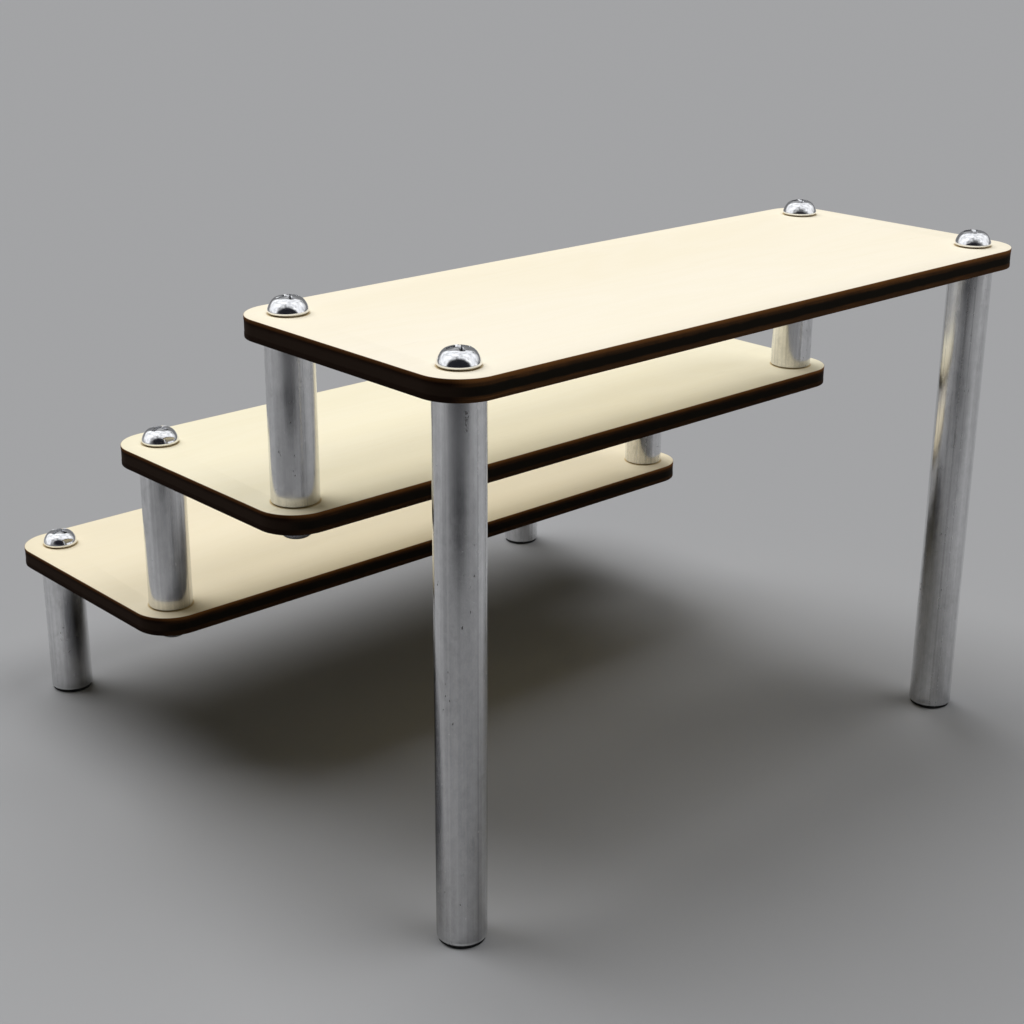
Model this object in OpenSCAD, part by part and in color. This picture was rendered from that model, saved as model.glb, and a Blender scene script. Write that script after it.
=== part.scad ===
// Three-step display riser: plywood shelves clamped to round aluminium posts by domed screws.
// Millimetres. The low front shelf faces -Y, the tall back shelf +Y, and the floor is z = 0.
// The origin is on the floor, under the centre of the middle shelf.

/* [Shelves] */
// Length of each shelf, from left to right
shelf_length = 260; // [180:5:400]
// Depth of each shelf, from front to back
shelf_depth = 102; // [80:1:160]
// Thickness of the plywood
ply_thickness = 6.5; // [4:0.5:9]
// Radius of the rounded shelf corners
corner_radius = 13; // [5:0.5:24]
// Distance from a shelf's edges to the centres of its posts
post_inset = 13; // [11:0.5:20]

/* [Posts] */
// Diameter of the round aluminium bar
post_diameter = 15; // [12:0.5:20]
// Height from each shelf's top face to the next one, and from the floor to the first
tier_rise = 58; // [48:1:90]
// Chamfer turned on both ends of each post
post_chamfer = 0.5; // [0.2:0.1:1]
// Length left in a tapped hole past the end of its screw
tap_runout = 2.5; // [1:0.5:5]
// Depth of the countersink at the mouth of a tapped hole
tap_countersink = 0.6; // [0.2:0.1:1]

/* [Screws] */
// Thread diameter
thread_diameter = 6; // [5:0.5:8]
// Length under the head
screw_length = 16; // [13:1:20]
// Diameter of the domed head
head_diameter = 12.3; // [11:0.1:14]
// Height of the domed head
head_height = 5.4; // [5:0.1:6]
// Radius of the rounded edge round the foot of the head
head_edge = 1; // [0.6:0.1:1.3]
// Angle at which the flank of the head leans in from upright
head_lean = 24; // [15:1:32]
// Radius of the shoulder that blends the flank into the crown
head_shoulder = 3.5; // [2:0.1:3.8]
// Radius of the crown
head_crown = 10.5; // [8:0.5:16]
// Width of the cross recess over its arms, level with the top of the crown
recess_span = 7.8; // [6:0.1:8.4]
// Width that is left at the floor of the cross recess
recess_floor = 3.2; // [2:0.1:4.2]
// Depth of the cross recess below the top of the crown
recess_depth = 3; // [2:0.1:3.4]
// Width of each arm of the cross recess
recess_arm = 1.5; // [0.8:0.1:2]
// Chamfer on the tip of the thread
tip_chamfer = 0.8; // [0.3:0.1:1.2]

/* [Feet] */
// Diameter of the rubber foot pads
pad_diameter = 14; // [10:0.5:14]
// Thickness of the rubber foot pads
pad_thickness = 0.8; // [0.5:0.1:3]
// Radius on the lower edge of a foot pad
pad_edge = 0.2; // [0.1:0.05:0.3]

/* [Fits] */
// Gap all round a screw in its shelf hole
hole_gap = 0.2; // [0.1:0.05:0.5]
// Gap all round a screw in its tapped hole
thread_gap = 0.05; // [0.02:0.01:0.1]

/* [Hidden] */
$fn = 96;
// A small overrun that takes a cut clear of the face it starts from
cut_over = 1;
// Half of the included angle of a twist drill's point
drill_half_angle = 59;
// Each step moves back by the distance between a shelf's two rows of posts, so the rows line up
tier_step = shelf_depth - 2 * post_inset;

SIDES = ["left", "right"];
// The shelves, from the lowest up
TIERS = ["bottom", "middle", "top"];
// Name, shelf that it carries, row under that shelf, what it stands on
POSTS = [
    ["leg_back", "top", "back", "floor"],
    ["leg_front", "bottom", "front", "floor"],
    ["post_upper", "top", "front", "middle"],
    ["post_lower", "middle", "front", "bottom"],
];
// Shelf that it clamps, row, and the angles at which the cross of the left and right screw stopped
SCREWS = [
    ["top", "back", [42, 67]],
    ["top", "front", [53, 77]],
    ["middle", "front", [12, 20]],
    ["middle", "back", [37, 81]],
    ["bottom", "front", [66, 18]],
    ["bottom", "back", [5, 58]],
];
// Name, shelf whose row it stands under
FEET = [["back", "top"], ["front", "bottom"]];

function post_name(p, side) = str(p[0], "_", side);
function screw_name(s, side) = str("screw_", s[0], "_", s[1], "_", side);
function foot_name(f, side) = str("foot_pad_", f[0], "_", side);

function steps_up(tier) = tier == "bottom" ? 0 : tier == "middle" ? 1 : 2;
function shelf_y(tier) = (steps_up(tier) - 1) * tier_step;
function shelf_top_z(tier) = (steps_up(tier) + 1) * tier_rise;
function post_x(side) = (side == "left" ? -1 : 1) * (shelf_length / 2 - post_inset);
function post_y(tier, row) = shelf_y(tier) + (row == "front" ? -1 : 1) * (shelf_depth / 2 - post_inset);
function post_foot_z(base) = base == "floor" ? pad_thickness : shelf_top_z(base);
// A post stands on the back row of the two lower shelves, so their screws there come from below
function head_below(tier, row) = row == "back" && tier != "top";

// Depth of a tapped hole down to the start of its drill point
tap_depth = screw_length - ply_thickness + tap_runout;
thread_radius = thread_diameter / 2;
hole_radius = thread_radius + hole_gap;
tap_radius = thread_radius + thread_gap;
head_radius = head_diameter / 2;

module rounded_panel(length, depth, radius, thickness) {
    linear_extrude(thickness) {
        square([length - 2 * radius, depth], center = true);
        square([length, depth - 2 * radius], center = true);
        for (x = [radius - length / 2, length / 2 - radius], y = [radius - depth / 2, depth / 2 - radius])
            translate([x, y]) circle(radius);
    }
}

// A shelf, with a clearance hole over each of its four posts
module shelf(tier) {
    underside_z = shelf_top_z(tier) - ply_thickness;
    color([0.93, 0.88, 0.76])
    difference() {
        translate([0, shelf_y(tier), underside_z])
            rounded_panel(shelf_length, shelf_depth, corner_radius, ply_thickness);
        for (side = SIDES, row = ["front", "back"])
            translate([post_x(side), post_y(tier, row), underside_z - cut_over])
                cylinder(r = hole_radius, h = ply_thickness + 2 * cut_over);
    }
}

// Bar turned to length, chamfered at both ends
module turned_bar(length) {
    radius = post_diameter / 2;
    rotate_extrude()
        polygon([
            [0, 0],
            [radius - post_chamfer, 0],
            [radius, post_chamfer],
            [radius, length - post_chamfer],
            [radius - post_chamfer, length],
            [0, length],
        ]);
}

// What a drill, a tap and a countersink take out of a bar end at z = 0, going up into the bar
module tapped_hole() {
    rotate_extrude()
        polygon([
            [0, -cut_over],
            [tap_radius + tap_countersink + cut_over, -cut_over],
            [tap_radius, tap_countersink],
            [tap_radius, tap_depth],
            [0, tap_depth + tap_radius / tan(drill_half_angle)],
        ]);
}

// A post or leg, tapped at each end that a screw holds
module post(tier, row, base, side) {
    foot_z = post_foot_z(base);
    length = shelf_top_z(tier) - ply_thickness - foot_z;
    color([0.72, 0.73, 0.74])
    translate([post_x(side), post_y(tier, row), foot_z])
    difference() {
        turned_bar(length);
        translate([0, 0, length]) mirror([0, 0, 1]) tapped_hole();
        if (base != "floor") tapped_hole();
    }
}

// Section of the domed head: rounded edge, leaning flank, shoulder and crown, each tangent to the next
module head_section() {
    outward = [cos(head_lean), sin(head_lean)];
    upward = [-sin(head_lean), cos(head_lean)];
    edge_centre = [head_radius - head_edge, head_edge];
    flank_foot = edge_centre + head_edge * outward;
    crown_centre = [0, head_height - head_crown];
    // The shoulder's centre is its radius in from the flank, and lies where the crown meets it
    reach = head_crown - head_shoulder;
    start = flank_foot - head_shoulder * outward - crown_centre;
    slide = sqrt(pow(start * upward, 2) - start * start + reach * reach) - start * upward;
    shoulder_centre = crown_centre + start + slide * upward;
    crown_edge = crown_centre + (shoulder_centre - crown_centre) * head_crown / reach;
    intersection() {
        square([head_radius, head_height]);
        union() {
            translate(edge_centre) circle(head_edge);
            translate(shoulder_centre) circle(head_shoulder);
            polygon([
                [0, 0],
                [edge_centre[0], 0],
                edge_centre,
                flank_foot,
                shoulder_centre + head_shoulder * outward,
                crown_edge,
                [0, crown_edge[1]],
            ]);
            intersection() {
                translate(crown_centre) circle(head_crown);
                square([crown_edge[0], head_height]);
            }
        }
    }
}

// Cross recess: two crossed slots that narrow towards their floor
module cross_recess() {
    slope = (recess_span - recess_floor) / 2 / recess_depth;
    for (turn = [0, 90])
        rotate([90, 0, turn])
            linear_extrude(recess_arm, center = true)
                polygon([
                    [-recess_floor / 2, head_height - recess_depth],
                    [recess_floor / 2, head_height - recess_depth],
                    [recess_span / 2 + slope * cut_over, head_height + cut_over],
                    [-recess_span / 2 - slope * cut_over, head_height + cut_over],
                ]);
}

// A domed screw with its head on z = 0 and its thread going down
module domed_screw(turn) {
    color([0.86, 0.86, 0.88])
    rotate([0, 0, turn]) {
        difference() {
            rotate_extrude() head_section();
            cross_recess();
        }
        rotate_extrude()
            polygon([
                [0, -screw_length],
                [thread_radius - tip_chamfer, -screw_length],
                [thread_radius, -screw_length + tip_chamfer],
                [thread_radius, head_edge],
                [0, head_edge],
            ]);
    }
}

module screw(tier, row, side, turn) {
    below = head_below(tier, row);
    translate([post_x(side), post_y(tier, row), shelf_top_z(tier) - (below ? ply_thickness : 0)])
        rotate([below ? 180 : 0, 0, 0])
            domed_screw(turn);
}

module foot_pad(row, tier, side) {
    radius = pad_diameter / 2;
    color([0.07, 0.07, 0.07])
    translate([post_x(side), post_y(tier, row), 0])
        rotate_extrude() {
            square([radius - pad_edge, pad_thickness]);
            translate([0, pad_edge]) square([radius, pad_thickness - pad_edge]);
            translate([radius - pad_edge, pad_edge]) circle(pad_edge);
        }
}

for (tier = TIERS)
    shelf(tier);
for (p = POSTS, side = SIDES)
    post(p[1], p[2], p[3], side);
for (s = SCREWS, side = SIDES)
    screw(s[0], s[1], side, s[2][side == "left" ? 0 : 1]);
for (f = FEET, side = SIDES)
    foot_pad(f[0], f[1], side);
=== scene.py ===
import math

import bmesh
import bpy
from mathutils import Euler, Matrix, Vector


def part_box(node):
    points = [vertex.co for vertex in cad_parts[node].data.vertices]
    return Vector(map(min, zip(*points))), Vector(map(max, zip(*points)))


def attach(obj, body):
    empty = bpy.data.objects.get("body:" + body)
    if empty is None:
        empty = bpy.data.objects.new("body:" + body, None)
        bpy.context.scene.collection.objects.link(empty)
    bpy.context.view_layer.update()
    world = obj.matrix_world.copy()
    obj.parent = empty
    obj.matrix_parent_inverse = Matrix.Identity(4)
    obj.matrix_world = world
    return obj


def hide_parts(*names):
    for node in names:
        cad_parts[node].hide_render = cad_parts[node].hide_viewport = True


# Looks of the display riser: birch plywood shelves with scorched laser-cut edges, satin aluminium
# bars, bright domed screws and black foot pads. Metres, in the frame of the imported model.

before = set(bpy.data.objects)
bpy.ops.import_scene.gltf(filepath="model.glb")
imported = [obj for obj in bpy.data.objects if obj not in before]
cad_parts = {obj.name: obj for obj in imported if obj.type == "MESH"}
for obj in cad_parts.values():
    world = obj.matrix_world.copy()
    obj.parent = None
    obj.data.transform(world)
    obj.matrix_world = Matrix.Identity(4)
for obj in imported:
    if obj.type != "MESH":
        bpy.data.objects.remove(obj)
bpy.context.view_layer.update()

MM = 0.001

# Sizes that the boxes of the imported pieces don't give
CORNER_RADIUS = 13 * MM
HOLE_RADIUS = 3.2 * MM
# From the middle of a shelf to the axes of its posts
POST_X = 117 * MM
POST_Y = 38 * MM
CORNER_SEGMENTS = 24
HOLE_SEGMENTS = 64
# Bevel that eases the edges of a shelf's faces
ARRIS = 0.12 * MM
PLY_COUNT = 5
# Depth by which the laser left the core plies behind the outer ones
CORE_RECESS = 0.07 * MM
POST_CHAMFER = 0.5 * MM
POST_EASING = 0.12 * MM
# The spot on the near tall leg that has a short row of pits
NICKED_PLACE = (0.1203, 0.1208, 0.1610)
TAP_RADIUS = 3.05 * MM
TAP_COUNTERSINK = 0.6 * MM
TAP_DEPTH = 12.0 * MM
DRILL_POINT = 1.83 * MM
THREAD_RADIUS = 3.0 * MM
SCREW_LENGTH = 16.0 * MM
TIP_CHAMFER = 0.8 * MM
HEAD_RADIUS = 6.15 * MM
HEAD_HEIGHT = 5.4 * MM
HEAD_EDGE = 1.0 * MM
# Angles in degrees: by how much the flank leans in, and how far it bends off at both of its ends
HEAD_LEAN = 24
HEAD_BELLY = 10
HEAD_SHOULDER = 3.5 * MM
HEAD_CROWN = 10.5 * MM
RECESS_SPAN = 7.8 * MM
RECESS_FLOOR = 3.2 * MM
RECESS_DEPTH = 3.0 * MM
RECESS_ARM = 1.5 * MM
RECESS_LIP = 0.1 * MM
# Attribute of the screw's mesh that its finish reads
RECESS_DEPTHS = "recess_depth"
# Share of an arm's width that is left at the recess floor
RECESS_TAPER = 0.72
PAD_EDGE = 0.2 * MM

# Steps round a turned piece, along the parts of a head's section and along a pad's edges
LATHE_SEGMENTS = 96
EDGE_STEPS = 10
FLANK_STEPS = 8
DOME_STEPS = 12
PAD_STEPS = (6, 4)
# How far a cutter stands out of the piece that it cuts, and the room for rounding in comparisons
CUT_OVER = 1 * MM
HAIR = 0.01 * MM

# Row under or over which each screw sits, whether its head is below the shelf, and the angles in
# degrees at which the crosses of its left and right copy stopped
SCREW_TURNS = {
    "top_back": (False, 42, 67),
    "top_front": (False, 53, 77),
    "middle_front": (False, 12, 20),
    "middle_back": (True, 37, 81),
    "bottom_front": (False, 66, 18),
    "bottom_back": (True, 5, 58),
}


# Camera, lights and floor

CAMERA_PLACE = (0.41046, 0.45472, 0.29872)
# Tilt up from straight down, heading, and roll about the line of sight, in degrees
CAMERA_TILT = 69.793
CAMERA_HEADING = 137.47
CAMERA_ROLL = 0.322
SENSOR_WIDTH = 36
FOCAL_LENGTH = 62.51
NEAREST_SEEN = 0.01
FURTHEST_SEEN = 50

# Level directions towards the camera and to the right of the picture
FORWARD = Vector((0.6756, 0.7373, 0))
RIGHT = Vector((-0.7373, 0.6756, 0))
FLOOR_SPAN = 14
FLOOR_GREY = (0.317, 0.319, 0.326, 1)
# Two round soft lights stand far over the riser, a wide one to the left and a smaller one to the
# right. Each has its direction along FORWARD and RIGHT per unit of height, the angle that it
# spans in degrees and its strength.
SOFT_LIGHTS = {
    "wide_soft_light": (-0.352, -0.437, 50.8, 2.80),
    "small_soft_light": (0.029, 0.448, 34.2, 1.19),
}
# The room hardly lights matt surfaces. The camera sees its backdrop beyond the floor. Bright metal
# sees its walls and ceiling, with lit sides and shade towards the camera and behind the riser.
ROOM_TINT = (0.992, 1.0, 1.01, 1)
ROOM_LEVEL = 0.03
BACKDROP_LEVEL = 0.36
WALL_LEVEL = 0.20
CEILING_LEVEL = 1.08
# Steepness, from 0 level to 1 upright, at which the walls end and from which all is ceiling
WALL_END = 0.42
CEILING_START = 0.86
# By how much a direction counts as steeper at the sides, and as less steep behind and in front
SIDE_LIFT = 0.66
BACK_SHADE = 0.22
CAMERA_SHADE = 0.20
# Size of the dim shapes in the room, and how much they shift and shade the ceiling
CLUTTER_SCALE = 2.6
CLUTTER = 0.9
SWIRL = 2.4

# Oval cards that only bright metal sees: place, point that each faces, width and height
DARK_CARDS = {
    "dark_camera": ((0.293, 0.306, 0.30), (0.117, 0.114, 0.30), (1.30, 0.46)),
    # The shade card is painted shade: a dark sheet standing for the riser's shadow on the floor, seen
    # only in bright metal
    "shade": ((0.105, 0, 0.002), (0.105, 0, -1), (0.24, 0.24)),
}
TABLE_CARD = ((0.627, 0.596, 0.002), (0.627, 0.596, -1), (2.0, 2.0))
CARD_BLACK = (0.02, 0.02, 0.028, 1)
UNLIT_GREY = (0.02, 0.02, 0.022, 1)


def set_up_camera():
    camera = bpy.data.objects.new("camera", bpy.data.cameras.new("camera"))
    bpy.context.scene.collection.objects.link(camera)
    camera.location = CAMERA_PLACE
    aim = Euler((math.radians(CAMERA_TILT), 0, math.radians(CAMERA_HEADING))).to_matrix()
    roll = Matrix.Rotation(math.radians(CAMERA_ROLL), 3, "Z")
    camera.rotation_euler = (aim @ roll).to_euler()
    camera.data.sensor_width = SENSOR_WIDTH
    camera.data.lens = FOCAL_LENGTH
    camera.data.clip_start = NEAREST_SEEN
    camera.data.clip_end = FURTHEST_SEEN
    bpy.context.scene.camera = camera


def add_soft_lights():
    """The lamps, which bright metal doesn't mirror."""
    for name, (forward, right, span, strength) in SOFT_LIGHTS.items():
        lamp = bpy.data.lights.new(name, "SUN")
        lamp.angle = math.radians(span)
        lamp.energy = strength
        holder = bpy.data.objects.new(name, lamp)
        bpy.context.scene.collection.objects.link(holder)
        side = FORWARD * forward + RIGHT * right + Vector((0, 0, 1))
        holder.location = side
        holder.rotation_euler = side.to_track_quat("Z", "Y").to_euler()
        holder.visible_glossy = False


def set_up_room():
    """A dim room round the riser, which only bright metal sees in full."""
    bpy.context.scene.view_settings.view_transform = "Standard"
    world = bpy.data.worlds.new("studio")
    world.use_nodes = True
    tree = world.node_tree

    def maths(operation, *values):
        node = tree.nodes.new("ShaderNodeMath")
        node.operation = operation
        for index, value in enumerate(values):
            if isinstance(value, bpy.types.NodeSocket):
                tree.links.new(value, node.inputs[index])
            else:
                node.inputs[index].default_value = value
        return node.outputs[0]

    direction = tree.nodes.new("ShaderNodeTexCoord").outputs["Generated"]
    parts = tree.nodes.new("ShaderNodeSeparateXYZ")
    tree.links.new(direction, parts.inputs[0])
    up = parts.outputs["Z"]
    forward_x = maths("MULTIPLY", parts.outputs["X"], FORWARD.x)
    forward = maths("MULTIPLY_ADD", parts.outputs["Y"], FORWARD.y, forward_x)
    not_sideways = maths("MULTIPLY_ADD", up, up, maths("MULTIPLY", forward, forward))
    clutter = tree.nodes.new("ShaderNodeTexNoise")
    clutter.inputs["Scale"].default_value = CLUTTER_SCALE
    clutter.inputs["Detail"].default_value = 3
    tree.links.new(direction, clutter.inputs["Vector"])

    lift = maths("MULTIPLY_ADD", maths("SUBTRACT", 1, not_sideways), SIDE_LIFT, up)
    lift = maths("MULTIPLY_ADD", maths("MAXIMUM", forward, 0), -CAMERA_SHADE, lift)
    lift = maths("MULTIPLY_ADD", maths("MINIMUM", forward, 0), BACK_SHADE, lift)
    unevenness = maths("SUBTRACT", clutter.outputs[0], 0.5)
    lift = maths("MULTIPLY_ADD", unevenness, CLUTTER, lift)
    level = tree.nodes.new("ShaderNodeMapRange")
    level.interpolation_type = "SMOOTHSTEP"
    level.inputs["From Min"].default_value = WALL_END
    level.inputs["From Max"].default_value = CEILING_START
    level.inputs["To Min"].default_value = WALL_LEVEL - ROOM_LEVEL
    level.inputs["To Max"].default_value = CEILING_LEVEL - ROOM_LEVEL
    tree.links.new(lift, level.inputs["Value"])
    swirl = maths("MULTIPLY", unevenness, maths("MAXIMUM", up, 0))
    swirl = maths("MULTIPLY_ADD", swirl, SWIRL, 1)
    ray = tree.nodes.new("ShaderNodeLightPath").outputs
    background = tree.nodes["Background"]
    background.inputs["Color"].default_value = ROOM_TINT
    mirrored = maths("MULTIPLY", maths("MULTIPLY", level.outputs[0], swirl), ray["Is Glossy Ray"])
    straight = maths("ADD", ray["Is Camera Ray"], ray["Is Transmission Ray"])
    strength = maths("MULTIPLY_ADD", straight, BACKDROP_LEVEL - ROOM_LEVEL, mirrored)
    strength = maths("ADD", strength, ROOM_LEVEL)
    tree.links.new(strength, background.inputs["Strength"])
    bpy.context.scene.world = world


def add_floor():
    let_go()
    bpy.ops.mesh.primitive_plane_add(size=FLOOR_SPAN, location=(0, 0, 0))
    floor = bpy.context.active_object
    floor.name = "floor"
    paint = Finish("pale_floor")
    paint.set("Base Color", FLOOR_GREY)
    paint.set("Roughness", 0.9)
    paint.set("Specular IOR Level", 0)
    floor.data.materials.append(paint.material)


def add_card(name, place, target, size, material):
    """An oval card that shows only in bright metal."""
    let_go()
    bpy.ops.mesh.primitive_circle_add(vertices=64, radius=0.5, fill_type="NGON")
    card = bpy.context.active_object
    card.name = name
    card.scale = (size[0], size[1], 1)
    card.location = place
    card.rotation_euler = (Vector(place) - Vector(target)).to_track_quat("Z", "Y").to_euler()
    card.data.materials.append(material)
    card.visible_camera = False
    card.visible_diffuse = False
    card.visible_shadow = False
    card.visible_transmission = False


def add_cards():
    """The dark camera, the unlit table in front of the riser and the shade under it."""
    # One dark paint for the camera card and for the shade card, which is painted shade under the riser
    card_paint = Finish("dark_card_and_painted_shade")
    x, y, _ = card_paint.split(card_paint.place())
    from_middle = (x * x + y * y) ** 0.5
    card_paint.set("Base Color", CARD_BLACK)
    card_paint.set("Roughness", 0.9)
    card_paint.set("Alpha", from_middle.rise(0.5, 0.25))
    for name, card in DARK_CARDS.items():
        add_card(name, *card, card_paint.material)

    # The table is darkest in its middle and fades to the colour of the floor
    table = Finish("unlit_table")
    x, y, _ = table.split(table.place())
    along = x * FORWARD.x + y * FORWARD.y
    across = (x * RIGHT.x + y * RIGHT.y) * 0.8
    from_middle = (along * along + across * across) ** 0.5
    fade = from_middle.rise(0.40, 0.30) * 0.40 + from_middle.rise(0.22, 0.10) * 0.60
    table.set("Base Color", table.blend(fade, FLOOR_GREY, UNLIT_GREY))
    table.set("Roughness", 0.9)
    add_card("unlit_table", *TABLE_CARD, table.material)


# Shader maths

class Amount:
    """A number or colour that changes over a surface. Sums and products of it add Math nodes."""

    def __init__(self, finish, socket):
        self.finish = finish
        self.socket = socket

    def maths(self, operation, *values):
        return self.finish.node("ShaderNodeMath", {"operation": operation}, dict(enumerate(values)))

    def __add__(self, other):
        return self.maths("ADD", self, other)

    def __radd__(self, other):
        return self.maths("ADD", other, self)

    def __sub__(self, other):
        return self.maths("SUBTRACT", self, other)

    def __rsub__(self, other):
        return self.maths("SUBTRACT", other, self)

    def __mul__(self, other):
        return self.maths("MULTIPLY", self, other)

    def __rmul__(self, other):
        return self.maths("MULTIPLY", other, self)

    def __truediv__(self, other):
        return self.maths("DIVIDE", self, other)

    def __pow__(self, other):
        return self.maths("POWER", self, other)

    def __abs__(self):
        return self.maths("ABSOLUTE", self)

    def sine(self):
        return self.maths("SINE", self)

    def at_least(self, other):
        return self.maths("MAXIMUM", self, other)

    def at_most(self, other):
        return self.maths("MINIMUM", self, other)

    def rise(self, start, end):
        """0 at start and 1 at end, eased in between."""
        return self.finish.node(
            "ShaderNodeMapRange",
            {"interpolation_type": "SMOOTHSTEP"},
            {"Value": self, "From Min": start, "From Max": end},
        )


class Finish:
    """One material and the nodes that make it."""

    def __init__(self, name):
        self.material = bpy.data.materials.new(name)
        self.material.use_nodes = True
        self.tree = self.material.node_tree
        self.shader = self.tree.nodes["Principled BSDF"]

    def node(self, kind, settings, sockets, output=0):
        """Adds a node with these settings and sockets, and gives one of its outputs."""
        node = self.tree.nodes.new(kind)
        for key, value in settings.items():
            setattr(node, key, value)
        for key, value in sockets.items():
            if isinstance(value, Amount):
                self.tree.links.new(value.socket, node.inputs[key])
            else:
                node.inputs[key].default_value = value
        return Amount(self, node.outputs[output])

    def set(self, socket, value):
        if isinstance(value, Amount):
            self.tree.links.new(value.socket, self.shader.inputs[socket])
        else:
            self.shader.inputs[socket].default_value = value

    def place(self, centre=(0, 0, 0)):
        """Where the point lies, measured from a centre."""
        point = self.node("ShaderNodeTexCoord", {}, {}, "Object")
        shift = [-number for number in centre]
        return self.node("ShaderNodeMapping", {}, {"Vector": point, "Location": shift})

    def split(self, vector):
        parts = self.node("ShaderNodeSeparateXYZ", {}, {"Vector": vector})
        outputs = parts.socket.node.outputs
        return [Amount(self, outputs[axis]) for axis in "XYZ"]

    def facing(self):
        """The three parts of the direction that the bare surface faces."""
        return self.split(self.node("ShaderNodeNewGeometry", {}, {}, "True Normal"))

    def noise(self, place, per_metre, detail=3, roughness=0.5, distortion=0):
        """Noise from 0 to 1 with this many features per metre along X, Y and Z."""
        scaled = self.node(
            "ShaderNodeVectorMath", {"operation": "MULTIPLY"}, {0: place, 1: per_metre}
        )
        return self.node(
            "ShaderNodeTexNoise",
            {},
            {
                "Vector": scaled,
                "Scale": 1,
                "Detail": detail,
                "Roughness": roughness,
                "Distortion": distortion,
            },
        )

    def blend(self, mask, under, over):
        """One colour where the mask is 0 and another where it is 1."""
        return self.node("ShaderNodeMix", {"data_type": "RGBA"}, {0: mask, 6: under, 7: over}, 2)

    def relief(self, height, metres):
        """Sends a height map, which is this many metres tall, to the surface direction."""
        self.set(
            "Normal",
            self.node("ShaderNodeBump", {}, {"Height": height, "Strength": 1, "Distance": metres}),
        )


# Plywood

# Colour of each shelf's face, how much brown its scorched edge shows and the layer of the grain pattern
# that it takes. The lower shelves' faces are darker and warmer and their edges less brown: painted shade,
# as less light reaches them.
TIER_COLOURS_AND_SHADE = {
    "bottom": ((0.778, 0.700, 0.528), 0.55, 2.6),
    "middle": ((0.832, 0.778, 0.613), 0.50, 5.3),
    "top": ((0.885, 0.822, 0.684), 1.0, 0),
}
HONEY_TINT = (0.945, 0.914, 0.805)
GRAIN = (0.620, 0.490, 0.300, 1)
SMUDGE = (0.480, 0.400, 0.290, 1)
TOASTED = (0.230, 0.120, 0.045, 1)
# Golden-brown of the painted contact shade round screw heads and post feet
CONTACT_SHADE_BROWN = (0.520, 0.370, 0.160, 1)
SCORCHED = (0.100, 0.046, 0.019, 1)
EMBER = (0.250, 0.100, 0.028, 1)
CHARRED = (0.0125, 0.0100, 0.0070, 1)
CHARRED_END = (0.028, 0.0175, 0.0120, 1)
SOOTY = (0.012, 0.0050, 0.0026, 1)
# Width of the border that heat has browned beside a cut: the least, and what chance adds
SINGE_LEAST = 0.05 * MM
SINGE_SPREAD = 0.5 * MM
# Radii between which the painted contact shade round a screw head fades, and how much wider the one round
# a post's foot is
RING_INSIDE = 6.0 * MM
RING_OUTSIDE = 6.65 * MM
POST_RING_WIDER = 1.5 * MM


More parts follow.
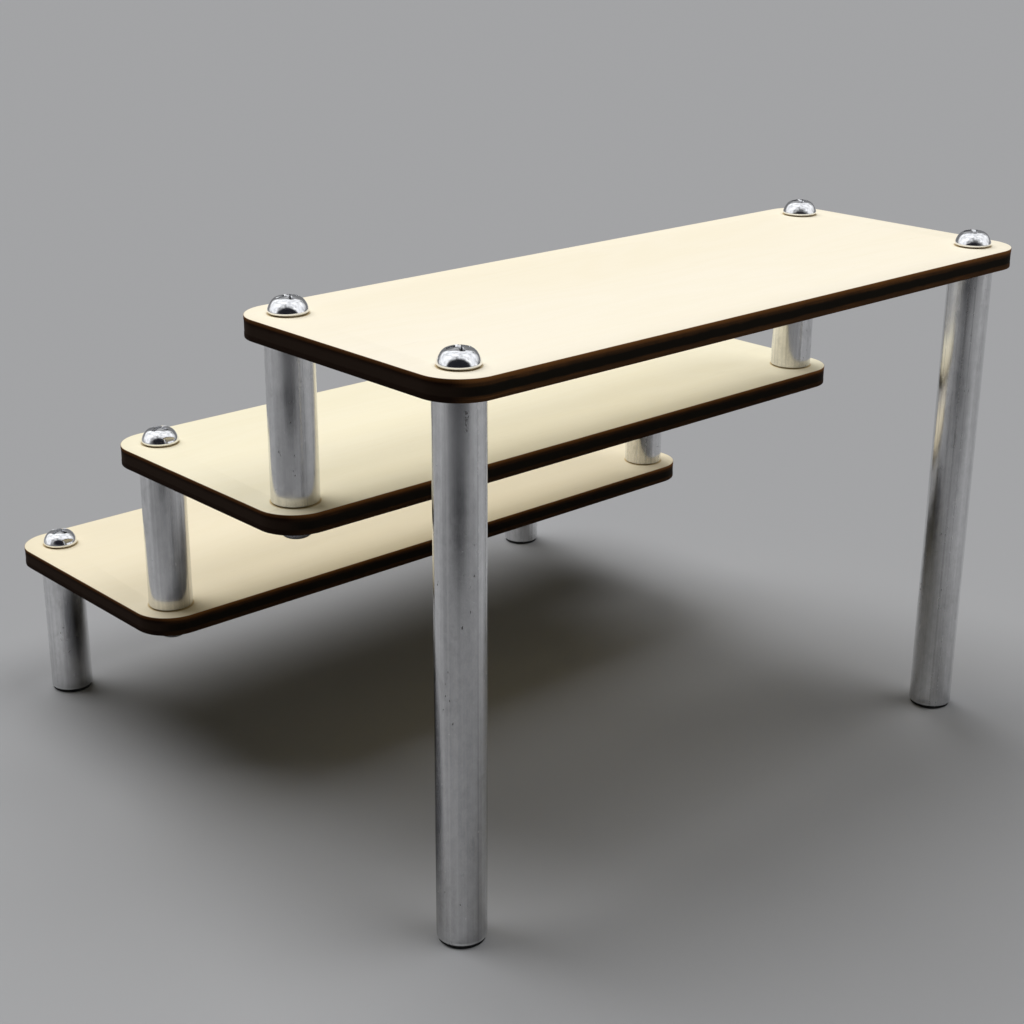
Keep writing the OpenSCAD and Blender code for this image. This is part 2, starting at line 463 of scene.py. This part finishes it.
def plywood_finish(name, low, high, face_colour_and_shade, edge_brownness_and_shade, layer, carries_posts):
    # On the lower shelves this face colour holds painted shade.
    cream = (*face_colour_and_shade, 1)
    honey = (*(part * tint for part, tint in zip(face_colour_and_shade, HONEY_TINT)), 1)
    centre = (low + high) / 2
    half = (high - low) / 2
    finish = Finish(name)
    place = finish.place(centre)
    sheet = finish.place(centre + Vector((0, 0, layer)))
    x, y, z = finish.split(place)
    _, ny, nz = finish.facing()
    inside = (half.z - abs(z)).rise(0.1 * MM, 0.2 * MM)
    cut_edge = abs(nz).rise(0.8, 0.4).at_least(inside)

    # Sanded face: broad figure, long grain lines and short pores, all along the shelf
    figure = finish.noise(sheet, (5, 26, 1), 3, 0.5, 0.4)
    contour = (figure * 75).sine() * 0.5 + 0.5
    drift = finish.noise(sheet, (3, 9, 1), 2)
    grain = finish.noise(sheet, (45, 1500, 1), 3, 0.6)
    pore = finish.noise(sheet, (260, 2600, 1), 2, 0.5).rise(0.66, 0.76)
    smudge = finish.noise(sheet, (75, 260, 1), 4, 0.6).rise(0.66, 0.80)
    fleck = finish.noise(sheet, (150, 900, 1), 2, 0.5).rise(0.70, 0.80)
    face = finish.blend(drift.rise(0.35, 0.75) * 0.40 + contour * 0.10, cream, honey)
    face = finish.blend(grain.rise(0.45, 0.80) * 0.06 + pore * 0.10 + fleck * 0.08, face, GRAIN)
    face = finish.blend(smudge * 0.16, face, SMUDGE)

    # Heat has browned the face right beside the cut
    outward_x = (abs(x) - (half.x - CORNER_RADIUS)).at_least(0)
    outward_y = (abs(y) - (half.y - CORNER_RADIUS)).at_least(0)
    reach = (outward_x * outward_x + outward_y * outward_y) ** 0.5
    straight = (abs(x) - half.x).at_least(abs(y) - half.y) + CORNER_RADIUS
    in_corner = outward_x.at_most(outward_y).rise(0, 0.02 * MM)
    from_cut = CORNER_RADIUS - (reach * in_corner + straight * (1 - in_corner))
    singe_width = finish.noise(sheet, (90, 90, 1), 3) * SINGE_SPREAD + SINGE_LEAST
    singe = (1 - (from_cut / singe_width).at_most(1).at_least(0)) ** 1.5
    face = finish.blend(singe * 0.8, face, TOASTED)

    # Painted shade: a golden-brown ring of contact shadow lies round each screw head and, on shelves that
    # carry posts, round each post's foot
    to_screw_x = abs(abs(x) - POST_X)
    to_screw_y = abs(abs(y) - POST_Y)
    from_screw = (to_screw_x * to_screw_x + to_screw_y * to_screw_y) ** 0.5
    ring_reach = RING_OUTSIDE + (singe_width - (SINGE_LEAST + SINGE_SPREAD / 2)) * 0.6
    contact_shade = from_screw.rise(ring_reach, RING_INSIDE)
    if carries_posts:
        post_contact_shade = from_screw.rise(ring_reach + POST_RING_WIDER, RING_INSIDE + POST_RING_WIDER)
        contact_shade = contact_shade.at_least(post_contact_shade * y.rise(0, 1 * MM))
    face = finish.blend(contact_shade * 0.8, face, CONTACT_SHADE_BROWN)

    # Laser-cut edge: a charred core between outer plies, which are brown on the long sides and sooty on
    # the ends, under a golden band along the top that is a painted highlight
    height = z / (half.z * 2) + 0.5
    ragged = (finish.noise(sheet, (140, 140, 30), 3) - 0.5) * 0.10
    long_side = abs(ny).rise(0.60, 0.985)
    top_ply = (height + ragged * 1.5).rise(0.58, 0.86)
    low_ply = (height + ragged).rise(0.31, 0.20) * 0.65
    painted_top_highlight = (height + ragged * 0.4).rise(0.76, 0.97)
    streak = finish.noise(sheet, (70, 70, 1500), 4, 0.6)
    stripe = finish.noise(sheet, (2600, 2600, 60), 2, 0.5)
    # On the lower shelves the brown of the edge plies is dimmed as painted shade.
    scorched = (*(part * edge_brownness_and_shade for part in SCORCHED[:3]), 1)
    ember = (*(part * edge_brownness_and_shade for part in EMBER[:3]), 1)
    brown = finish.blend(streak.rise(0.46, 0.74) * 0.6, scorched, ember)
    core = finish.blend(long_side, CHARRED_END, CHARRED)
    ply = finish.blend(long_side, SOOTY, brown)
    edge = finish.blend(top_ply.at_least(low_ply) * (0.80 + 0.4 * stripe), core, ply)
    edge = finish.blend(painted_top_highlight * (long_side * 0.55 + 0.35), edge, EMBER)

    finish.set("Base Color", finish.blend(cut_edge, face, edge))
    finish.set("Specular IOR Level", 0.02)
    face_rough = 0.52 + (grain - 0.5) * 0.16 + (drift - 0.5) * 0.10
    edge_rough = 0.66 + (stripe - 0.5) * 0.25
    finish.set("Roughness", face_rough * (1 - cut_edge) + edge_rough * cut_edge)
    face_height = grain * 0.5 + pore * -0.5
    edge_height = stripe * 1.6 + streak * 1.2
    finish.relief(face_height * (1 - cut_edge) + edge_height * cut_edge, 0.012 * MM)
    return finish.material


# Metals and rubber

BAR_DARK = (0.60, 0.601, 0.608, 1)
BAR_LIGHT = (0.87, 0.87, 0.872, 1)
BAR_GROOVE = (0.28, 0.28, 0.283, 1)
BAR_STAIN = (0.27, 0.262, 0.257, 1)
BAR_PIT = (0.08, 0.075, 0.07, 1)
BAR_TURNED = (0.78, 0.78, 0.78, 1)
PLATING_DARK = (0.80, 0.81, 0.84, 1)
PLATING_LIGHT = (0.88, 0.885, 0.90, 1)
PLATING_FRECKLE = (0.42, 0.42, 0.45, 1)
DEEP_RECESS_GREY = (0.085, 0.083, 0.085, 1)
RUBBER_BLACK = (0.012, 0.012, 0.013, 1)
RUBBER_DUST = (0.06, 0.058, 0.055, 1)


def aluminium_finish():
    finish = Finish("satin_aluminium")
    place = finish.place()
    nz = finish.facing()[2]
    turned_end = abs(nz).rise(0.3, 0.6)
    band = finish.noise(place, (250, 250, 1.2), 2)
    line = finish.noise(place, (900, 900, 1.6), 4, 0.7)
    groove = finish.noise(place, (850, 850, 1.2), 2, 0.4).rise(0.60, 0.70)
    mottle = finish.noise(place, (480, 480, 260), 4, 0.7)
    grain = finish.noise(place, (3000, 3000, 1700), 2, 0.5)
    stain = finish.noise(place, (150, 150, 75), 5, 0.72, 0.4).rise(0.54, 0.74)
    speck = finish.noise(place, (1150, 1150, 620), 2, 0.4).rise(0.70, 0.76)
    patch = finish.noise(place, (170, 170, 34), 2).rise(0.48, 0.62)
    dx, dy, dz = finish.split(finish.place(NICKED_PLACE))
    nicked = (dx * dx + dy * dy).rise((0.8 * MM) ** 2, (0.4 * MM) ** 2) * abs(dz).rise(3.4 * MM, 2.4 * MM)
    nick = finish.noise(place, (2300, 2300, 1700), 2, 0.4).rise(0.50, 0.60) * nicked
    pit = (speck * patch).at_least(nick * 0.6)
    tone = band * 0.14 + line * 0.44 + mottle * 0.28 + grain * 0.14
    metal = finish.blend(tone.rise(0.34, 0.66), BAR_DARK, BAR_LIGHT)
    metal = finish.blend(groove * 0.25, metal, BAR_GROOVE)
    metal = finish.blend(stain * (0.20 + grain * 0.25), metal, BAR_STAIN)
    metal = finish.blend(pit * 0.9, metal, BAR_PIT)
    metal = finish.blend(turned_end * 0.6, metal, BAR_TURNED)
    finish.set("Base Color", metal)
    finish.set("Metallic", 1.0)
    satin = 0.20 + (band - 0.5) * 0.10 + (line - 0.5) * 0.12 + (mottle - 0.5) * 0.16
    finish.set("Roughness", satin + groove * 0.06 + stain * 0.05 + pit * 0.3)
    finish.relief(line * 4.0 + mottle * 0.35 + grain * 0.04 + groove * -0.4 + pit * -0.5, 0.006 * MM)
    return finish.material


def plating_finish():
    finish = Finish("bright_plating")
    place = finish.place()
    haze = finish.noise(place, (260, 260, 260), 3, 0.6)
    hairline = finish.noise(place, (900, 5200, 1400), 3, 0.6).rise(0.60, 0.80)
    freckle = finish.noise(place, (2400, 2400, 2400), 2, 0.5).rise(0.72, 0.80)
    plating = finish.blend(haze.rise(0.3, 0.7), PLATING_DARK, PLATING_LIGHT)
    plating = finish.blend(freckle * 0.35, plating, PLATING_FRECKLE)
    # The recess turns darker and rougher towards its floor
    in_recess = finish.node("ShaderNodeAttribute", {"attribute_name": RECESS_DEPTHS}, {}, "Fac")
    deep_recess_darkening = in_recess.rise(0.02, 0.55) * (0.75 + haze * 0.3)
    plating = finish.blend(deep_recess_darkening, plating, DEEP_RECESS_GREY)
    finish.set("Base Color", plating)
    finish.set("Metallic", 1.0)
    finish.set("Roughness", 0.06 + haze * 0.06 + hairline * 0.07 + freckle * 0.1 + deep_recess_darkening * 0.25)
    finish.relief(hairline * -1.0 + haze * 2.0 + freckle * -1.5, 0.0012 * MM)
    return finish.material


def rubber_finish():
    finish = Finish("black_rubber")
    place = finish.place()
    grit = finish.noise(place, (4200, 4200, 4200), 3, 0.6)
    dust = finish.noise(place, (500, 500, 900), 4, 0.6).rise(0.50, 0.80)
    finish.set("Base Color", finish.blend(dust * 0.5, RUBBER_BLACK, RUBBER_DUST))
    finish.set("Roughness", 0.62 + grit * 0.25)
    finish.relief(grit, 0.02 * MM)
    return finish.material


# Working with shapes

def let_go():
    bpy.ops.object.select_all(action="DESELECT")


def activate(piece):
    let_go()
    piece.select_set(True)
    bpy.context.view_layer.objects.active = piece


def freeze(piece):
    """Moves a piece's place, turn and size into its mesh."""
    activate(piece)
    bpy.ops.object.transform_apply(location=True, rotation=True, scale=True)


def pick(piece, kind, test):
    """Selects the faces or edges that pass a test, in a piece that is open for editing."""
    bpy.ops.mesh.select_mode(type=kind)
    bpy.ops.mesh.select_all(action="DESELECT")
    shape = bmesh.from_edit_mesh(piece.data)
    for item in shape.faces if kind == "FACE" else shape.edges:
        if test(item):
            item.select_set(True)
    shape.select_flush_mode()
    bmesh.update_edit_mesh(piece.data)


def close_up(piece, smooth_angle):
    """Turns all faces outwards and shades the piece smooth up to an angle in degrees."""
    activate(piece)
    bpy.ops.object.mode_set(mode="EDIT")
    bpy.ops.mesh.select_all(action="SELECT")
    bpy.ops.mesh.normals_make_consistent(inside=False)
    bpy.ops.object.mode_set(mode="OBJECT")
    bpy.ops.object.shade_smooth_by_angle(angle=math.radians(smooth_angle))


def cut_away(piece, cutter):
    activate(piece)
    cut = piece.modifiers.new("cut", "BOOLEAN")
    cut.object = cutter
    cut.operation = "DIFFERENCE"
    cut.solver = "EXACT"
    bpy.ops.object.modifier_apply(modifier=cut.name)
    bpy.data.objects.remove(cutter)


def turn(name, centre, section):
    """Draws a disc through the radii and heights of a section, as a lathe would leave it."""
    radius, z = section[0]
    let_go()
    bpy.ops.mesh.primitive_circle_add(
        vertices=LATHE_SEGMENTS,
        radius=radius,
        fill_type="NGON",
        location=(centre[0], centre[1], z),
    )
    piece = bpy.context.active_object
    piece.name = name
    freeze(piece)
    bpy.ops.object.mode_set(mode="EDIT")
    bpy.ops.mesh.select_mode(type="FACE")
    bpy.ops.mesh.select_all(action="SELECT")
    for next_radius, next_z in section[1:]:
        bpy.ops.mesh.extrude_region_move(TRANSFORM_OT_translate={"value": (0, 0, next_z - z)})
        if next_radius == 0:
            bpy.ops.mesh.merge(type="CENTER")
            break
        scale = next_radius / radius
        bpy.ops.transform.resize(
            value=(scale, scale, 1), center_override=(centre[0], centre[1], next_z)
        )
        radius, z = next_radius, next_z
    bpy.ops.object.mode_set(mode="OBJECT")
    return piece


def arc(centre, radius, start, end, steps):
    """Points on an arc of a section, from one angle in degrees to another, both included."""
    points = []
    for step in range(steps + 1):
        angle = math.radians(start + (end - start) * step / steps)
        points.append((centre[0] + radius * math.cos(angle), centre[1] + radius * math.sin(angle)))
    return points


def fit(piece, node, material, place=None):
    """Copies a piece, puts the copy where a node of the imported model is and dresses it."""
    copy = bpy.data.objects.new(node + ".fitted", piece.data.copy())
    bpy.context.scene.collection.objects.link(copy)
    if place is not None:
        copy.data.transform(place)
    copy.data.materials.clear()
    copy.data.materials.append(material)
    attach(copy, "root")
    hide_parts(node)
    return copy


def middle(node):
    low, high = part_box(node)
    return (low + high) / 2


def move_between(start_node, end_node):
    return Matrix.Translation(middle(end_node) - middle(start_node))


# Shelves

def cut_out_shelf():
    """The middle shelf: a panel with rounded corners, its plies, eased arrises and four holes."""
    low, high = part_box("shelf_middle")
    size = high - low
    let_go()
    bpy.ops.mesh.primitive_cube_add(size=1, location=(low + high) / 2, scale=size)
    shelf = bpy.context.active_object
    freeze(shelf)
    bpy.ops.object.mode_set(mode="EDIT")

    pick(shelf, "EDGE", lambda edge: abs(edge.verts[0].co.z - edge.verts[1].co.z) > size.z / 2)
    bpy.ops.mesh.bevel(
        offset=CORNER_RADIUS, segments=CORNER_SEGMENTS, affect="EDGES", clamp_overlap=False
    )

    ply = size.z / PLY_COUNT
    for glue_line in (1, PLY_COUNT - 1):
        bpy.ops.mesh.select_all(action="SELECT")
        bpy.ops.mesh.bisect(plane_co=(0, 0, low.z + glue_line * ply), plane_no=(0, 0, 1))
    pick(
        shelf,
        "FACE",
        lambda face: abs(face.normal.z) < 0.1
        and low.z + ply < face.calc_center_median().z < high.z - ply,
    )
    bpy.ops.mesh.extrude_region_shrink_fatten(TRANSFORM_OT_shrink_fatten={"value": -CORE_RECESS})

    pick(shelf, "EDGE", lambda edge: is_rim(edge, low.z) or is_rim(edge, high.z))
    bpy.ops.mesh.bevel(offset=ARRIS, segments=2, affect="EDGES")
    bpy.ops.object.mode_set(mode="OBJECT")

    for side in ("left", "right"):
        for row in ("front", "back"):
            centre = middle(f"screw_middle_{row}_{side}")
            let_go()
            bpy.ops.mesh.primitive_cylinder_add(
                vertices=HOLE_SEGMENTS, radius=HOLE_RADIUS, depth=size.z * 3, location=centre
            )
            cut_away(shelf, bpy.context.active_object)
    close_up(shelf, smooth_angle=35)
    return shelf


def is_rim(edge, z):
    """True for an edge of the outline at this height."""
    return all(abs(vert.co.z - z) < 0.001 * MM for vert in edge.verts) and edge.calc_face_angle() > 1


# Posts and legs

def post_section(low_z, high_z, radius, tapped_below):
    """Section of a bar from its lower end to the drill point in its upper end."""
    ease = POST_EASING
    inner = radius - POST_CHAMFER
    lower_end = [
        (inner - ease, low_z),
        (inner + ease * 0.35, low_z + ease * 0.55),
        (radius - ease * 0.25, low_z + POST_CHAMFER - ease * 0.1),
        (radius, low_z + POST_CHAMFER + ease),
    ]
    tap = [
        (TAP_RADIUS + TAP_COUNTERSINK, 0),
        (TAP_RADIUS, TAP_COUNTERSINK),
        (TAP_RADIUS, TAP_DEPTH),
        (0, TAP_DEPTH + DRILL_POINT),
    ]
    upper_end = [(r, high_z + low_z - z) for r, z in reversed(lower_end)]
    bore = [(r, high_z - depth) for r, depth in tap]
    if not tapped_below:
        return lower_end + upper_end + bore
    lower_bore = [(r, low_z + depth) for r, depth in reversed(tap[:-1])]
    return lower_bore + lower_end + upper_end + bore


def turn_post(node, tapped_below):
    low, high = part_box(node)
    section = post_section(low.z, high.z, (high.x - low.x) / 2, tapped_below)
    post = turn(node + "_pattern", (low + high) / 2, section)
    close_up(post, smooth_angle=24)
    return post


# Screws

def head_section():
    """Section of the domed head: rounded edge, slightly bulging flank, shoulder and crown."""
    lean = math.radians(HEAD_LEAN)
    outward = Vector((math.cos(lean), math.sin(lean)))
    upward = Vector((-math.sin(lean), math.cos(lean)))
    edge_centre = Vector((HEAD_RADIUS - HEAD_EDGE, HEAD_EDGE))
    crown_centre = Vector((0, HEAD_HEIGHT - HEAD_CROWN))
    reach = HEAD_CROWN - HEAD_SHOULDER
    start = edge_centre + (HEAD_EDGE - HEAD_SHOULDER) * outward - crown_centre
    along = start.dot(upward)
    slide = math.sqrt(along**2 - start.dot(start) + reach**2) - along
    shoulder_centre = crown_centre + start + slide * upward
    meet = math.degrees(math.atan2(shoulder_centre.y - crown_centre.y, shoulder_centre.x))
    section = arc(edge_centre, HEAD_EDGE, -90, HEAD_LEAN - HEAD_BELLY, EDGE_STEPS)
    shoulder = arc(shoulder_centre, HEAD_SHOULDER, HEAD_LEAN + HEAD_BELLY, meet, DOME_STEPS)
    flank_foot = Vector(section[-1])
    flank = Vector(shoulder[0]) - flank_foot
    bulge = math.tan(math.radians(HEAD_BELLY)) * flank.length * outward
    for step in range(1, FLANK_STEPS):
        part = step / FLANK_STEPS
        section.append(tuple(flank_foot + part * flank + part * (1 - part) * bulge))
    section += shoulder
    section += arc(crown_centre, HEAD_CROWN, meet, 90, DOME_STEPS)[1:-1]
    return section + [(0, HEAD_HEIGHT)]


def dome_height(radius, section):
    """Height of the dome at this distance from the screw's axis."""
    for (r1, z1), (r2, z2) in zip(section, section[1:]):
        if z1 > HEAD_EDGE and r2 <= radius <= r1 and r1 > r2:
            return z1 + (z2 - z1) * (r1 - radius) / (r1 - r2)
    return 0


def on_dome(vert, section):
    """True for a point on the crown or shoulder of a head that stands on z = 0."""
    radius = math.hypot(vert.co.x, vert.co.y)
    return abs(vert.co.z - dome_height(radius, section)) < 2 * HAIR


def cross_cutter():
    """The punch that forms the cross recess: a block with four arms that narrow downwards."""
    slope = (RECESS_SPAN - RECESS_FLOOR) / 2 / RECESS_DEPTH
    top = HEAD_HEIGHT + CUT_OVER
    bottom = HEAD_HEIGHT - RECESS_DEPTH
    top_reach = RECESS_FLOOR / 2 + slope * (top - bottom)
    half_arm = RECESS_ARM / 2
    let_go()
    bpy.ops.mesh.primitive_cube_add(
        size=1,
        location=(0, 0, (top + bottom) / 2),
        scale=(RECESS_ARM, RECESS_ARM, top - bottom),
    )
    cutter = bpy.context.active_object
    freeze(cutter)
    bpy.ops.object.mode_set(mode="EDIT")
    pick(cutter, "FACE", lambda face: abs(face.normal.z) < 0.1)
    bpy.ops.mesh.extrude_faces_move(TRANSFORM_OT_shrink_fatten={"value": top_reach - half_arm})
    narrow = RECESS_FLOOR / 2 / top_reach
    for axis, values in ((0, (narrow, RECESS_TAPER, 1)), (1, (RECESS_TAPER, narrow, 1))):
        pick(
            cutter,
            "EDGE",
            lambda edge: all(
                vert.co.z < bottom + HAIR and abs(vert.co[axis]) > half_arm * 1.5
                for vert in edge.verts
            ),
        )
        bpy.ops.transform.resize(value=values, center_override=(0, 0, bottom))
    bpy.ops.mesh.select_all(action="SELECT")
    bpy.ops.mesh.normals_make_consistent(inside=False)
    bpy.ops.object.mode_set(mode="OBJECT")
    return cutter


def form_screw():
    """A domed screw with its head on z = 0 and its thread going down."""
    head = head_section()
    thread = [
        (THREAD_RADIUS - TIP_CHAMFER, -SCREW_LENGTH),
        (THREAD_RADIUS, -SCREW_LENGTH + TIP_CHAMFER),
        (THREAD_RADIUS, 0),
    ]
    screw = turn("screw_pattern", (0, 0), thread + head)
    close_up(screw, smooth_angle=40)
    cut_away(screw, cross_cutter())
    activate(screw)
    bpy.ops.object.mode_set(mode="EDIT")
    bpy.ops.mesh.select_all(action="SELECT")
    bpy.ops.mesh.remove_doubles(threshold=HAIR)
    pick(
        screw,
        "EDGE",
        lambda edge: len(edge.link_faces) == 2
        and edge.calc_face_angle() > math.radians(25)
        and all(on_dome(vert, head) for vert in edge.verts),
    )
    bpy.ops.mesh.bevel(offset=RECESS_LIP, segments=3, affect="EDGES", clamp_overlap=True)
    bpy.ops.object.mode_set(mode="OBJECT")
    close_up(screw, smooth_angle=32)
    note_recess_depths(screw, head)
    return screw


def note_recess_depths(screw, section):
    """Stores how deep each point lies in the recess: 0 on the dome and 1 at the recess floor."""
    depths = screw.data.attributes.new(RECESS_DEPTHS, "FLOAT", "POINT")
    for vert, depth in zip(screw.data.vertices, depths.data):
        radius = math.hypot(vert.co.x, vert.co.y)
        if radius < RECESS_SPAN / 2 and vert.co.z > HEAD_HEIGHT - RECESS_DEPTH - 0.1 * MM:
            drop = dome_height(radius, section) - vert.co.z
            depth.value = min(max(drop / RECESS_DEPTH, 0), 1)


def screw_place(name, side):
    """Where a screw goes: turned about its axis, upside down if its head is below the shelf."""
    head_below, left_turn, right_turn = SCREW_TURNS[name]
    low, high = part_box(f"screw_{name}_{side}")
    centre = (low + high) / 2
    seat_z = low.z + (HEAD_HEIGHT if head_below else SCREW_LENGTH)
    place = Matrix.Translation((centre.x, centre.y, seat_z))
    if head_below:
        place = place @ Matrix.Rotation(math.pi, 4, "X")
    angle = math.radians(left_turn if side == "left" else right_turn)
    return place @ Matrix.Rotation(angle, 4, "Z")


# Foot pads

def punch_foot_pad():
    low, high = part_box("foot_pad_front_left")
    radius = (high.x - low.x) / 2
    edge = PAD_EDGE
    section = [(radius * 0.5, low.z)]
    section += arc((radius - edge, low.z + edge), edge, -90, 0, PAD_STEPS[0])
    section += arc((radius - edge * 0.5, high.z - edge * 0.5), edge * 0.5, 0, 90, PAD_STEPS[1])
    section += [(radius * 0.5, high.z), (0, high.z)]
    pad = turn("foot_pad_pattern", (low + high) / 2, section)
    close_up(pad, smooth_angle=40)
    return pad


# The whole riser

set_up_camera()
set_up_room()
add_soft_lights()
add_floor()
add_cards()

shelf = cut_out_shelf()
for tier, sheet in TIER_COLOURS_AND_SHADE.items():
    node = f"shelf_{tier}"
    birch = plywood_finish(
        f"birch_plywood_{tier}", *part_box(node), *sheet, carries_posts=tier != "top"
    )
    fit(shelf, node, birch, move_between("shelf_middle", node))
bpy.data.objects.remove(shelf)

aluminium = aluminium_finish()
for pattern_node, names, tapped_below in (
    ("leg_back_left", ("leg_back",), False),
    ("leg_front_left", ("leg_front",), False),
    ("post_upper_left", ("post_upper", "post_lower"), True),
):
    post = turn_post(pattern_node, tapped_below)
    for name in names:
        for side in ("left", "right"):
            node = f"{name}_{side}"
            fit(post, node, aluminium, move_between(pattern_node, node))
    bpy.data.objects.remove(post)

plating = plating_finish()
screw = form_screw()
for name in SCREW_TURNS:
    for side in ("left", "right"):
        fit(screw, f"screw_{name}_{side}", plating, screw_place(name, side))
bpy.data.objects.remove(screw)

rubber = rubber_finish()
pad = punch_foot_pad()
for row in ("back", "front"):
    for side in ("left", "right"):
        node = f"foot_pad_{row}_{side}"
        fit(pad, node, rubber, move_between("foot_pad_front_left", node))
bpy.data.objects.remove(pad)
